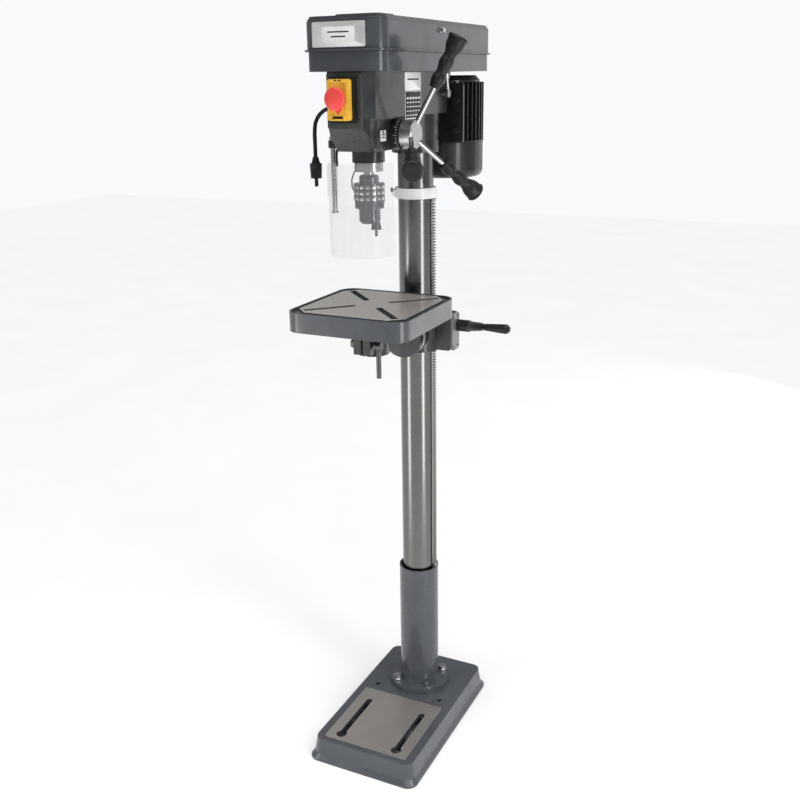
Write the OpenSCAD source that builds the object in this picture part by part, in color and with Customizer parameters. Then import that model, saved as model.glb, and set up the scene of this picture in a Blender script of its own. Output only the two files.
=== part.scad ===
// Floor-standing drill press: cast base, steel column, rack-and-crank table, belt head.
// Frame: origin on the floor at the column axis, +Z up, front faces -Y, +X is the operator's right.

/* [Base and column] */
// Width of the base at the floor
base_w = 263; // [240:1:280]
// Depth of the base at the floor
base_d = 446; // [430:1:460]
// Height of the base casting
base_h = 52; // [46:1:58]
// Outer radius of the column
col_r = 38; // [38]
// Top of the column support sleeve
sleeve_top = 375; // [340:1:400]
// Outer radius of the column support sleeve
sleeve_r = 46.6; // [45:0.1:47]

/* [Table] */
// Side of the square table
table_w = 262; // [250:1:264]
// Height of the table's top face
table_top = 1060; // [1055:1:1065]
// Depth of the table's rim
table_rim_h = 40; // [36:1:42]
// Width of the table's through slots
table_slot_w = 14; // [12:1:16]

/* [Spindle and chuck] */
// Distance from the column axis to the spindle axis
throat = 215; // [215]
// Outer radius of the quill
quill_r = 27.5; // [27.5]
// Radius of the chuck's toothed sleeve
chuck_r = 30; // [29:0.5:31]

/* [Head and cover] */
// Half the width of the head casting
head_hw = 50; // [50]
// Width of the belt cover's body
cover_w = 164; // [160:1:168]
// Top of the belt cover, below its raised pad
cover_top = 1600; // [1598:1:1606]

/* [Levers] */
// Length of a feed lever from the hub's centre
lever_len = 199; // [170:1:205]
// Angle between a feed lever and the feed shaft
lever_tilt = 65; // [62:1:68]
// Length of the table crank's arm
crank_len = 83; // [70:1:84]

/* [Hidden] */
$fn = 64;

fit = 0.05;                 // radial running clearance of a shaft in its bore
gap = 0.3;                  // clearance between parts that pass each other
spindle_y = -throat;

// base
base_cy = -104;             // middle of the base's depth
base_draft = 9.5;           // how far each side leans in from floor to top
base_wall = 12;
base_corner = 24;
pad_h = 2;
pad_w = 206;
pad_d = 208;
pad_cy = -200;
floor_hole_x = 83.5;
floor_hole_y = -70;
floor_hole_r = 6.5;
base_slot_x = 70;
base_slot_front = -282;
base_slot_back = -142;
base_slot_r = 7;
base_slot_eye_r = 12;
rib_t = 10;
foot_flare = 3;             // how far the foot stands out at the floor
foot_h = 5;

// column support and column
flange_r = 74;
flange_t = 12;
flange_bolt_pcr = 60.5;
flange_bolt_r = 6;
column_top = 1445;
column_wall = 4;
counterbore_r = 43.2;

// rack
rack_m = 2;                 // module
rack_pitch = PI * rack_m;
rack_back = 38.35;
rack_face = 44.9;
rack_hw = 7;
rack_z0 = 377;
rack_z1 = 1249;
tongue_h = 11;
tongue_face = 41.9;
collar_z0 = 1250;
collar_h = 22;
collar_r = 44.4;

// table bracket and lifting gear
bracket_z0 = 918;
bracket_z1 = 1004;
bracket_r = 54;
gear_teeth = 12;
gear_r = rack_m * gear_teeth / 2;
gear_x = rack_face - rack_m + gear_r;
wheel_r = 16;
worm_y = 12;
worm_r = 6.7;
worm_z = 974;
gear_z = worm_z - wheel_r - worm_r - gap;
box_x1 = 90;
box_y0 = -17;
box_y1 = 20.5;
box_z0 = 921;
cover_plate_t = 4;
crank_x0 = 95;
crank_x1 = 123;
crank_angle = -14;
crank_grip_len = 60;
tilt_z = 958;
tilt_r = 45;
tilt_face_y = -66;
clamp_y = 62;
clamp_z = 962;

// table
table_y = spindle_y + 2;
table_corner = 34;
stem_r = 14;
boss_r = 33.7;
boss_z0 = 958;
boss_z1 = 1015;
lock_y = table_y - 39;
lock_z = 985;

// head
head_z0 = 1362;
head_step_z = 1423;
head_top = 1506;
head_front = -303;
head_rear = 58;
front_hw = 35.5;
chamfer_y = -278;
neck_hw = 38;
chin_z = 1406;
chin_y = -262;
collar_bottom = 1340;
quill_collar_r = 31.5;
bar_x = 34;
bar_z = 1462;
bar_r = 9;

// quill, spindle and chuck
quill_bottom = 1323;
quill_top = 1482;
quill_pinion_teeth = 14;
feed_pinion_r = rack_m * quill_pinion_teeth / 2;
feed_y = spindle_y + quill_r - 1.5 + feed_pinion_r;
feed_z = 1390;
feed_r = 10;
spindle_r = 10;
spindle_top_r = 8;
spindle_top = 1592;
chuck_top = 1316;
sleeve_z0 = 1255;
sleeve_z1 = 1300;
nose_z = 1223;
nose_r = 21;
jaw_tilt = 14;
jaw_r = 2.8;
jaw_len = 36;
jaw_rest_r = 11;          // radius of a jaw's axis at its lower end
key_y = spindle_y + 46;
key_x = -10;
key_tip_z = 1190;

// feed hub
dial_x0 = 40;
dial_x1 = 56;
dial_r = 29;
hub_x1 = 85;
hub_r = 27;
hub_cx = 71.6;
lever_angles = [77.6, -42.4, 197.6];
rod_r = 5;
grip_start = 96;

// pulleys: four steps each, radii listed from the bottom step up
pulley_z = 1522;
step_h = 14;
spindle_steps = [35, 44, 53, 62];
idler_steps = [60, 50, 40, 30];
motor_steps = [42, 35, 28, 21];
groove_d = 7;
idler_y = -30;
idler_pivot_y = 5;
front_belt_step = 2;
rear_belt_step = 1;
belt_hw = 3.4;

// motor
motor_y = 166;
motor_r = 74;
fin_r = 83;
motor_z0 = 1357;
motor_z1 = 1498;
fan_z0 = 1281;
plate_y = 74;
plate_t = 7;

// belt cover
cover_y0 = -312;
cover_y1 = 232;
cover_cy = (cover_y0 + cover_y1) / 2;
cover_d = cover_y1 - cover_y0;
cover_corner = 30;
tray_top = 1540;
sheet = 2;
lip = 5;
lid_pad_h = 4;               // raised pad on the lid's top
hinge_x = -cover_w / 2 - 6.5;
hinge_z = 1544;

// switch
switch_z = 1457;
start_z = 1477;
flap_hw = 22;
flap_hh = 36;

// guard
guard_x = -72;
guard_y = -225;
guard_r = 66;
guard_cx = -10;
guard_z0 = 1164;
guard_z1 = 1341;
guard_rod_z0 = 1241;
guard_tube_z0 = 1275;
guard_tube_z1 = 1335;

// power cord: hangs from the left flank of the head and ends in its plug
cord_r = 4;
cord_y = -195;
cord_z = 1440;
gland_x = -72;
cord_route = [[-71, -195, 1440], [-80, -195, 1440], [-90, -195, 1440], [-99, -195, 1438], [-108, -195, 1434],
    [-116, -195, 1428], [-122, -195, 1421], [-127, -195, 1412], [-129, -195, 1402], [-130, -195, 1391],
    [-130, -195, 1380], [-130, -195, 1369], [-130, -195, 1358], [-130, -195, 1346]];
plug_x = -130;
plug_top = 1346;

// tether of the chuck key: stiff wire from the head's collar round to the key's cross bar
wire_r = 1.5;
wire_route = [[-22.5, -191, 1346], [-29, -188, 1337], [-37, -190, 1328], [-45, -193, 1316], [-49, -195, 1303],
    [-49, -194, 1289], [-45, -189, 1276], [-38, -182, 1265], [-32, -175, 1259], [-26, -169, 1256.7],
    [-21, -164, 1258], [-19, -160, 1263]];

function arc(cx, cy, r, a0, a1, n) =
    [for (i = [0:n]) [cx + r * cos(a0 + (a1 - a0) * i / n), cy + r * sin(a0 + (a1 - a0) * i / n)]];

function round_rect(w, d, r) = concat(
    arc(w / 2 - r, d / 2 - r, r, 0, 90, 8), arc(-w / 2 + r, d / 2 - r, r, 90, 180, 8),
    arc(-w / 2 + r, -d / 2 + r, r, 180, 270, 8), arc(w / 2 - r, -d / 2 + r, r, 270, 360, 8));

module slab(w, d, r, h) {
    linear_extrude(h) polygon(round_rect(w, d, r));
}

module rod_x(r, x0, x1) {
    translate([x0, 0, 0]) rotate([0, 90, 0]) cylinder(r = r, h = x1 - x0);
}

module rod_y(r, y0, y1) {
    translate([0, y0, 0]) rotate([-90, 0, 0]) cylinder(r = r, h = y1 - y0);
}

module rod_z(r, z0, z1) {
    translate([0, 0, z0]) cylinder(r = r, h = z1 - z0);
}

module box(x0, x1, y0, y1, z0, z1) {
    translate([x0, y0, z0]) cube([x1 - x0, y1 - y0, z1 - z0]);
}

module hex_z(r, z0, z1) {
    translate([0, 0, z0]) cylinder(r = r, h = z1 - z0, $fn = 6);
}

// A tube swept along a route of points: one ring of sides at each point
function unit(v) = v / norm(v);
function tangent(p, i) = unit(p[min(i + 1, len(p) - 1)] - p[max(i - 1, 0)]);
module swept(p, r, sides) {
    ref = [0.1, 0.99, 0.05];
    rings = [for (i = [0:len(p) - 1]) let (t = tangent(p, i), u = unit(cross(t, ref)), v = cross(t, u))
        [for (k = [0:sides - 1]) p[i] + r * (u * cos(360 * k / sides) + v * sin(360 * k / sides))]];
    points = [for (ring = rings) each ring];
    walls = [for (i = [0:len(p) - 2], k = [0:sides - 1])
        let (a = i * sides + k, b = i * sides + (k + 1) % sides, c = b + sides, d = a + sides) each [[d, c, b], [d, b, a]]];
    first = [for (k = [0:sides - 1]) k];
    last = [for (k = [sides - 1:-1:0]) (len(p) - 1) * sides + k];
    polyhedron(points = points, faces = concat(walls, [first], [last]));
}

// Outline of a V-belt pulley's half section, four steps stacked from z = 0
function pulley_profile(bore, steps) = concat([[bore, 0]],
    [for (i = [0:len(steps) - 1]) each
        [[steps[i], i * step_h], [steps[i], i * step_h + 1.5], [steps[i] - groove_d, i * step_h + 3.8],
         [steps[i] - groove_d, i * step_h + 10.2], [steps[i], i * step_h + 12.5], [steps[i], (i + 1) * step_h]]],
    [[bore, len(steps) * step_h]]);

module step_pulley(bore, steps) {
    rotate_extrude() polygon(pulley_profile(bore, steps));
}

// Loop of belt round two pulleys on the Y axis, the larger y first
module belt_loop(y1, r1, y2, r2) {
    a = asin((r1 - r2) / (y1 - y2));
    outer = concat(arc(0, y1, r1 - 0.5, -a, 180 + a, 24), arc(0, y2, r2 - 0.5, 180 + a, 360 - a, 24));
    inner = concat(arc(0, y1, r1 - 5.5, -a, 180 + a, 24), arc(0, y2, r2 - 5.5, 180 + a, 360 - a, 24));
    linear_extrude(2 * belt_hw) difference() {
        polygon(outer);
        polygon(inner);
    }
}

// A spur gear about Z with thin teeth that leave backlash in the mesh
module spur(teeth, pitch_r, h) {
    root = pitch_r - 2.2;
    tip = pitch_r + rack_m;
    cylinder(r = root, h = h);
    for (k = [0:teeth - 1]) rotate(360 * k / teeth)
        linear_extrude(h) polygon([[root - 1, -1.6], [tip, -0.6], [tip, 0.6], [root - 1, 1.6]]);
}

// ---------------------------------------------------------------- base and column

module base_shell() {
    hull() {
        translate([0, base_cy, 0]) slab(base_w + 2 * foot_flare, base_d + 2 * foot_flare, base_corner, foot_h);
        translate([0, base_cy, 14]) slab(base_w - 9, base_d - 9, base_corner - 2, 1);
    }
    hull() {
        translate([0, base_cy, 9]) slab(base_w - 7, base_d - 7, base_corner - 1, 1);
        translate([0, base_cy, base_h - 1])
            slab(base_w - 2 * base_draft, base_d - 2 * base_draft, base_corner - 4, 1);
    }
}

module base() {
    hole_top = base_h - base_wall;
    color("dimgray") difference() {
        union() {
            difference() {
                base_shell();
                hull() {
                    translate([0, base_cy, -1]) slab(base_w - 24, base_d - 24, 14, 1);
                    translate([0, base_cy, hole_top - 1])
                        slab(base_w - 2 * base_draft - 24, base_d - 2 * base_draft - 24, 12, 1);
                }
            }
            translate([0, pad_cy, base_h - 0.5]) slab(pad_w, pad_d, 6, pad_h + 0.5);
            for (y = [-215, -104, 0]) box(-base_w / 2 + 8, base_w / 2 - 8, y - rib_t / 2, y + rib_t / 2, 0, hole_top + 1);
            box(-rib_t / 2, rib_t / 2, base_cy - base_d / 2 + 8, base_cy + base_d / 2 - 8, 0, hole_top + 1);
            for (s = [-1, 1]) translate([s * floor_hole_x, floor_hole_y, 0]) {
                rod_z(14, hole_top - 6, base_h + 1);
            }
            rod_z(flange_r, hole_top - 1, base_h);
        }
        for (s = [-1, 1]) translate([s * floor_hole_x, floor_hole_y, 0]) {
            rod_z(floor_hole_r, -1, base_h + 10);
        }
        for (s = [-1, 1]) translate([s * base_slot_x, 0, 0]) {
            box(-base_slot_r, base_slot_r, base_slot_front, base_slot_back, hole_top - 6, base_h + 10);
            translate([0, base_slot_back, 0]) rod_z(base_slot_r, hole_top - 6, base_h + 10);
            translate([0, base_slot_front, 0]) rod_z(base_slot_eye_r, hole_top - 6, base_h + 10);
        }
        for (a = [45:90:315]) rotate(a) translate([flange_bolt_pcr, 0, 0]) rod_z(flange_bolt_r, hole_top - 4, base_h + 1);
    }
}

module column_support() {
    color("dimgray") difference() {
        union() {
            rod_z(flange_r, base_h, base_h + flange_t);
            translate([0, 0, base_h + flange_t]) cylinder(r1 = 48, r2 = sleeve_r, h = 10);
            rod_z(sleeve_r, base_h + flange_t, sleeve_top);
        }
        rod_z(col_r, base_h - 1, sleeve_top + 1);
        rod_z(counterbore_r, sleeve_top - tongue_h, sleeve_top + 1);
        for (a = [45:90:315]) rotate(a) translate([flange_bolt_pcr, 0, 0]) rod_z(flange_bolt_r, base_h - 1, base_h + 40);
    }
}

module flange_bolts() {
    top = base_h + flange_t;
    color("silver") for (a = [45:90:315]) rotate(a) translate([flange_bolt_pcr, 0, 0]) {
        rod_z(flange_bolt_r, base_h - 9, top + 2.5);
        difference() {
            rod_z(12, top, top + 2.5);
            rod_z(flange_bolt_r, top - 1, top + 3);
        }
        hex_z(10.5, top + 2.5, top + 10);
    }
}

module column() {
    color("lightgray") difference() {
        rod_z(col_r, base_h, column_top);
        rod_z(col_r - column_wall, base_h - 1, column_top + 1);
    }
}

module rack_collar() {
    color("gainsboro") difference() {
        union() {
            rod_z(collar_r, collar_z0, collar_z0 + collar_h);
            rotate(215) translate([collar_r - 3, -9, collar_z0 + 4]) cube([8, 18, 14]);
        }
        rod_z(col_r, collar_z0 - 1, collar_z0 + collar_h + 1);
        rod_z(counterbore_r, collar_z0 - 1, collar_z0 + tongue_h + 1);
        rotate(215) translate([0, 0, collar_z0 + 17]) rod_x(2.5, col_r - 2, collar_r + 8);
    }
}

module set_screws() {
    color("dimgray") {
        rotate(215) translate([0, 0, collar_z0 + 17]) rod_x(2.5, col_r, collar_r + 9);
        rotate(215) translate([0, 0, collar_z0 + 17]) rotate([0, 90, 0]) hex_z(5, collar_r + 5, collar_r + 10);
        for (z = [1375, 1405]) translate([0, 0, z]) rod_x(5, col_r, head_hw - 1);
    }
}

// ---------------------------------------------------------------- head

module head_outline(h) {
    linear_extrude(h) polygon([[-front_hw, head_front], [front_hw, head_front], [head_hw, chamfer_y],
        [head_hw, head_rear - 6], [head_hw - 6, head_rear], [-head_hw + 6, head_rear], [-head_hw, head_rear - 6],
        [-head_hw, chamfer_y]]);
}

module head_chin() {
    intersection() {
        rotate([90, 0, 90]) translate([0, 0, -head_hw]) linear_extrude(2 * head_hw)
            polygon([[head_front, chin_z], [chin_y, head_z0], [spindle_y, head_z0], [spindle_y, head_step_z + 1],
                [head_front, head_step_z + 1]]);
        translate([0, 0, head_z0]) linear_extrude(head_step_z - head_z0 + 1)
            polygon([[-front_hw, head_front], [front_hw, head_front], [42, -285], [neck_hw, -250],
                [neck_hw, spindle_y], [-neck_hw, spindle_y], [-neck_hw, -250], [-42, -285]]);
    }
}

module head() {
    color("slategray") difference() {
        union() {
            translate([0, 0, head_step_z]) head_outline(head_top - head_step_z);
            head_chin();
            box(-neck_hw, neck_hw, spindle_y, -20, head_z0, head_step_z + 1);
            rod_z(head_hw, 1345, head_step_z + 1);
            translate([0, spindle_y, 0]) rod_z(neck_hw, head_z0, head_step_z + 1);
            translate([0, spindle_y, 0]) rod_z(quill_collar_r, collar_bottom, head_z0 + 1);
            translate([0, feed_y, feed_z]) rod_x(28, -neck_hw - 1, neck_hw + 1);
            box(guard_x, -neck_hw + 3, guard_y - 7, guard_y + 7, 1366, 1380);
            translate([guard_x, guard_y, 0]) rod_z(9, 1366, 1380);
        }
        translate([0, spindle_y, 0]) rod_z(quill_r + fit, collar_bottom - 1, 1484);
        translate([0, spindle_y, 0]) rod_z(24, 1484, head_top + 1);
        translate([0, feed_y, feed_z]) rod_x(feed_r + fit, -neck_hw - 3, neck_hw + 3);
        translate([0, feed_y, feed_z]) rod_x(17, -14, 14);
        rod_z(col_r, 1340, column_top + 2);
        box(-33, 33, head_front - 1, spindle_y - 40, 1412, 1498);
        translate([-35, 0, cord_z]) rod_y(5.5, spindle_y - 45, cord_y + 2);
        translate([guard_x, guard_y, 0]) rod_z(5 + fit, 1360, 1385);
        box(-head_hw + 7, head_hw - 7, -170, -62, head_step_z + 6, head_top + 1);
        for (s = [-1, 1]) translate([s * bar_x, 0, bar_z]) rod_y(bar_r + fit, -64, head_rear + 1);
        translate([0, idler_pivot_y, 0]) rod_z(8 + fit, 1488, head_top + 1);
        translate([0, 35, bar_z]) rod_x(5 + fit, 43, head_hw + 1);
        for (z = [1375, 1405]) translate([0, 0, z]) rod_x(5, col_r - 2, head_hw + 1);
        translate([0, cord_y, cord_z]) rod_x(7, -head_hw - 1, -32);
    }
}

module pulley_bearings() {
    color("silver") translate([0, spindle_y, 0]) for (z = [1486, 1496]) difference() {
        rod_z(24, z, z + 8);
        rod_z(14 + fit, z - 1, z + 9);
    }
}

module switch_plate() {
    color("gray") difference() {
        translate([0, head_front, 1454.5]) rotate([90, 0, 0]) slab(2 * front_hw, 97, 3, 3);
        box(-18, 18, head_front - 4, head_front + 1, 1430, 1484);
    }
}

module switch_body() {
    y1 = head_front - 3;
    color("gold") difference() {
        union() {
            translate([0, y1, switch_z]) rotate([90, 0, 0]) slab(54, 82, 5, 10);
            box(-17, 17, y1 - 1, y1 + 25, 1431, 1483);
        }
        translate([0, 0, start_z]) rod_y(7.3, y1 - 11, y1 + 15);
    }
}

module start_button() {
    y1 = head_front - 3;
    color("green") translate([0, 0, start_z]) rod_y(7, y1 - 12, y1 + 8);
}

module switch_flap() {
    y0 = head_front - 13.5;
    color("gold") difference() {
        translate([0, y0, switch_z]) rotate([90, 0, 0]) slab(2 * flap_hw, 2 * flap_hh, 5, 12);
        translate([0, y0 + 1, switch_z]) rotate([90, 0, 0]) slab(2 * flap_hw - 5, 2 * flap_hh - 5, 3, 10.5);
        translate([0, 0, switch_z + 2]) rod_y(9 + gap, y0 - 13, y0 + 1);
    }
}

module stop_button() {
    y0 = head_front - 13.5;
    color("red") translate([0, y0, switch_z + 2]) rotate([90, 0, 0]) rotate_extrude()
        polygon(concat([[0, 4], [9, 4], [9, 20], [14.5, 20.5], [20.5, 23]], arc(15.5, 24, 5, 0, 70, 6), [[8, 31], [0, 31.5]]));
}

module cord_gland() {
    color("black") translate([0, cord_y, cord_z]) difference() {
        union() {
            rod_x(6.8, -head_hw - 1, -head_hw + 8);
            rotate([0, -90, 0]) hex_z(12, head_hw, head_hw + 5);
            translate([-head_hw - 4, 0, 0]) rotate([0, -90, 0]) cylinder(r1 = 8.5, r2 = 5.6, h = -gland_x - head_hw - 4);
        }
        rod_x(cord_r, gland_x - 1, -head_hw + 9);
    }
}

module power_cord() {
    color("black") swept(cord_route, cord_r, 10);
}

module plug() {
    color("black") translate([plug_x, cord_y, 0]) rotate(116) {
        translate([0, 0, plug_top - 14]) cylinder(r1 = 9, r2 = 5.5, h = 14);
        difference() {
            translate([0, 0, plug_top - 42]) cylinder(r1 = 11, r2 = 12.4, h = 29);
            box(9, 13, -13, 13, plug_top - 43, plug_top - 24);
            box(-13, -9, -13, 13, plug_top - 43, plug_top - 24);
        }
        for (s = [-1, 1]) translate([s * 6, 0, 0]) box(-0.8, 0.8, -3.2, 3.2, plug_top - 58, plug_top - 41);
    }
}

// ---------------------------------------------------------------- feed

module spring_housing() {
    color("dimgray") translate([0, feed_y, feed_z]) difference() {
        rod_x(32, -66, -neck_hw - 1);
        rod_x(28, -63, -neck_hw);
        rod_x(feed_r + fit, -67, -neck_hw);
        for (a = [0:45:315]) rotate([a, 0, 0]) box(-67, -60, -3, 3, 29.5, 33);
    }
}

module return_spring() {
    turns = 5;
    n = turns * 24;
    inner = [for (i = [0:n]) [(12.4 + 13 * i / n) * cos(15 * i), (12.4 + 13 * i / n) * sin(15 * i)]];
    outer = [for (i = [n:-1:0]) [(13.4 + 13 * i / n) * cos(15 * i), (13.4 + 13 * i / n) * sin(15 * i)]];
    color("silver") translate([-60, feed_y, feed_z]) rotate([0, 90, 0]) linear_extrude(16) polygon(concat(inner, outer));
}

module feed_shaft() {
    color("silver") translate([0, feed_y, feed_z]) {
        rod_x(feed_r, -68, dial_x1 + 4);
        rotate([0, 90, 0]) rotate(90) translate([0, 0, -13]) spur(quill_pinion_teeth, feed_pinion_r, 26);
        rotate([0, -90, 0]) hex_z(15, 68, 75);
        rotate([0, -90, 0]) hex_z(13, 76, 82);
        rod_x(7, -86, -60);
    }
}

module depth_ring() {
    color("black") translate([0, feed_y, feed_z]) difference() {
        union() {
            rod_x(dial_r, dial_x0, dial_x1);
            rotate([163, 0, 0]) translate([53.9, 0, 0]) rod_z(1.8, 20, 34);
            rotate([163, 0, 0]) translate([54.2, 0, 0]) rod_z(3.6, 31, 39);
        }
        rod_x(feed_r + fit, dial_x0 - 1, dial_x1 + 1);
    }
}

module feed_hub() {
    color("silver") translate([0, feed_y, feed_z]) difference() {
        rotate([0, 90, 0]) translate([0, 0, dial_x1 + 0.5]) rotate_extrude()
            polygon([[0, 3.5], [feed_r, 3.5], [feed_r, 0], [hub_r - 2, 0], [hub_r, 2], [hub_r, 26], [hub_r - 2.5, 28.5], [0, 28.5]]);
        for (a = lever_angles) rotate([a, 0, 0]) translate([hub_cx, 0, 0]) rotate([0, 0, lever_tilt - 90])
            rod_y(rod_r, 12, 60);
    }
}

module feed_rods() {
    color("gainsboro") translate([0, feed_y, feed_z]) for (a = lever_angles) rotate([a, 0, 0])
        translate([hub_cx, 0, 0]) rotate([0, 0, lever_tilt - 90]) rod_y(rod_r, 12, grip_start + 60);
}

module feed_grips() {
    n = 40;
    len_g = lever_len - grip_start;
    wave = [for (i = [0:n]) let (t = i / n)
        [11.5 + 1.6 * t - 1.6 * cos(360 * 3 * t) + 8.5 * pow(t, 6), t * (len_g - 4)]];
    color("black") translate([0, feed_y, feed_z]) for (a = lever_angles) rotate([a, 0, 0])
        translate([hub_cx, 0, 0]) rotate([0, 0, lever_tilt - 90]) translate([0, grip_start, 0]) rotate([-90, 0, 0])
        difference() {
            rotate_extrude() polygon(concat([[0, 0]], wave, [[18.6, len_g - 1.4], [14, len_g], [0, len_g]]));
            translate([0, 0, -1]) cylinder(r = rod_r, h = 61);
        }
}

// ---------------------------------------------------------------- quill, spindle and chuck

module quill() {
    back = spindle_y + quill_r;
    color("silver") difference() {
        translate([0, spindle_y, 0]) rod_z(quill_r, quill_bottom, quill_top);
        translate([0, spindle_y, 0]) rod_z(spindle_r + fit, quill_bottom - 1, quill_top + 1);
        for (k = [-3:15]) translate([-20, 0, feed_z + rack_pitch * k]) rotate([90, 0, 90]) linear_extrude(40)
            polygon([[back + 1, -2.3], [back + 1, 2.3], [back - 4, 1.4], [back - 4, -1.4]]);
    }
}

module spindle() {
    color("silver") translate([0, spindle_y, 0]) {
        rod_z(spindle_r, chuck_top - 20, quill_top);
        rod_z(spindle_top_r, quill_top - 1, spindle_top);
    }
}

module jaw_place(k) {
    translate([0, spindle_y, 0]) rotate(30 + 120 * k) translate([jaw_rest_r, 0, nose_z + 3]) rotate([0, jaw_tilt, 0]) children();
}

module chuck_body() {
    color("silver") difference() {
        translate([0, spindle_y, 0]) union() {
            rod_z(nose_r, nose_z + 5, sleeve_z1);
            translate([0, 0, nose_z]) cylinder(r1 = nose_r - 4, r2 = nose_r, h = 5);
            rod_z(26.5, sleeve_z0 + 0.5, sleeve_z0 + 4);
            rod_z(19, sleeve_z1 - 1, chuck_top - 3);
            translate([0, 0, chuck_top - 3]) cylinder(r1 = 19, r2 = 16, h = 3);
        }
        translate([0, spindle_y, 0]) rod_z(8, nose_z - 1, nose_z + 45);
        translate([0, spindle_y, 0]) rod_z(spindle_r, chuck_top - 20, chuck_top + 1);
        for (k = [0:2]) jaw_place(k) translate([0, 0, -20]) cylinder(r = jaw_r + gap, h = jaw_len + 26);
        for (k = [0:2]) translate([0, spindle_y, 1247]) rotate(90 + 120 * k) rod_x(3.5, 12, 25);
    }
}

module chuck_sleeve() {
    color("silver") translate([0, spindle_y, 0]) difference() {
        union() {
            rod_z(chuck_r, sleeve_z0 + 12, sleeve_z1);
            rod_z(chuck_r - 1.5, sleeve_z0, sleeve_z0 + 12);
        }
        rod_z(nose_r + fit, sleeve_z1 - 5, sleeve_z1 + 1);
        rod_z(26.8, sleeve_z0 - 1, sleeve_z1 - 4);
        for (k = [0:23]) rotate(15 * k) translate([chuck_r - 2.5, 0, 0]) rotate(45)
            box(0, 3, 0, 3, sleeve_z0 - 1, sleeve_z0 + 8);
    }
}

module jaw(k) {
    color("dimgray") jaw_place(k) cylinder(r = jaw_r, h = jaw_len);
}

module jaw_1() { jaw(0); }
module jaw_2() { jaw(1); }
module jaw_3() { jaw(2); }

module chuck_key() {
    color("silver") translate([key_x, key_y, 0]) {
        rod_z(3, key_tip_z, key_tip_z + 20);
        difference() {
            translate([0, 0, key_tip_z + 14]) cylinder(r1 = 11, r2 = 7, h = 18);
            for (k = [0:11]) rotate(30 * k) translate([9.5, -1.2, key_tip_z + 13]) cube([4, 2.4, 20]);
        }
        rod_z(5, key_tip_z + 30, 1268);
        translate([0, 0, 1262]) rod_x(3.5, -19, 19);
    }
}

module key_wire() {
    color("black") swept(wire_route, wire_r, 8);
}

// ---------------------------------------------------------------- guard

module guard_rod() {
    color("silver") {
        translate([guard_x, guard_y, 0]) rod_z(5, guard_rod_z0, 1384);
        translate([guard_x, guard_y, 0]) hex_z(8, 1380.5, 1387);
        translate([guard_x, guard_y, 0]) rod_z(7, guard_rod_z0, guard_rod_z0 + 3);
    }
}

module guard_shield() {
    color("azure", 0.35) difference() {
        union() {
            translate([guard_cx, guard_y, guard_z0]) linear_extrude(guard_z1 - guard_z0) polygon(concat(
                arc(0, 0, guard_r, 190, 365, 40), arc(0, 0, guard_r - 2, 365, 190, 40)));
            translate([guard_x, guard_y, 0]) rod_z(8.5, guard_tube_z0, guard_tube_z1);
            box(guard_x - 6, guard_x + 7, guard_y - 18, guard_y - 4, guard_tube_z0, guard_tube_z1);
        }
        translate([guard_x, guard_y, 0]) rod_z(5 + fit, 1200, 1340);
    }
}

// ---------------------------------------------------------------- belt cover and pulleys

module cover_tray() {
    color("slategray") difference() {
        translate([0, cover_cy, head_top]) slab(cover_w - 4, cover_d - 4, cover_corner - 2, tray_top - head_top);
        translate([0, cover_cy, head_top + sheet])
            slab(cover_w - 4 - 2 * sheet, cover_d - 4 - 2 * sheet, cover_corner - 4, tray_top - head_top);
        translate([0, spindle_y, 0]) rod_z(22, head_top - 1, head_top + 5);
        translate([0, idler_pivot_y, 0]) rod_z(12, head_top - 1, head_top + 5);
        for (y = [motor_y - 14, motor_y, motor_y + 10]) translate([0, y, 0]) rod_z(24, head_top - 1, head_top + 5);
        box(-24, 24, motor_y - 14, motor_y + 10, head_top - 1, head_top + 5);
    }
}

module belt_cover() {
    color("slategray") difference() {
        union() {
            translate([0, cover_cy, tray_top + 0.5]) slab(cover_w, cover_d, cover_corner, cover_top - 8 - tray_top - 0.5);
            translate([0, cover_cy, cover_top - 8.5]) slab(cover_w - 3, cover_d - 3, cover_corner - 1, 4.5);
            translate([0, cover_cy, cover_top - 4.5]) slab(cover_w - 9, cover_d - 9, cover_corner - 4, 4.5);
            translate([0, cover_cy, tray_top + 0.5]) slab(cover_w + 2 * lip, cover_d + 2 * lip, cover_corner + lip, 3);
            translate([13, cover_y0 + 70, cover_top - 1]) slab(92, 70, 12, 1 + lid_pad_h);
        }
        translate([0, cover_cy, tray_top])
            slab(cover_w - 2 * sheet, cover_d - 2 * sheet, cover_corner - sheet, cover_top - 9 - tray_top);
        translate([0, cover_cy, cover_top - 10]) slab(cover_w - 13, cover_d - 13, cover_corner - 6, 8);
        for (y = [-190, 105]) box(hinge_x - 10, -cover_w / 2 - 0.5, y - 21, y + 21, tray_top - 1, tray_top + 10);
    }
    color("silver") for (y = [-190, 105]) {
        translate([hinge_x, 0, hinge_z]) difference() {
            union() {
                rod_y(3.2, y - 10, y + 10);
                box(0, -cover_w / 2 - hinge_x + 0.2, y - 10, y + 10, 0.8, 3.2);
                box(-cover_w / 2 - hinge_x - 2, -cover_w / 2 - hinge_x + 0.2, y - 10, y + 10, 0.8, 12);
            }
            rod_y(1.5 + fit, y - 11, y + 11);
        }
    }
}

module lid_hinge() {
    color("silver") for (y = [-190, 105]) translate([hinge_x, 0, hinge_z]) {
        rod_y(1.5, y - 20, y + 20);
        for (e = [-1, 1]) difference() {
            union() {
                rod_y(3.2, y + e * 15 - 4.5, y + e * 15 + 4.5);
                box(-3.2, -0.8, y + e * 15 - 4.5, y + e * 15 + 4.5, -12, 0);
            }
            rod_y(1.5, y + e * 15 - 5, y + e * 15 + 5);
        }
        box(-3.2, -cover_w / 2 - hinge_x + 2, y - 20, y + 20, -14, -11.6);
    }
}

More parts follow.
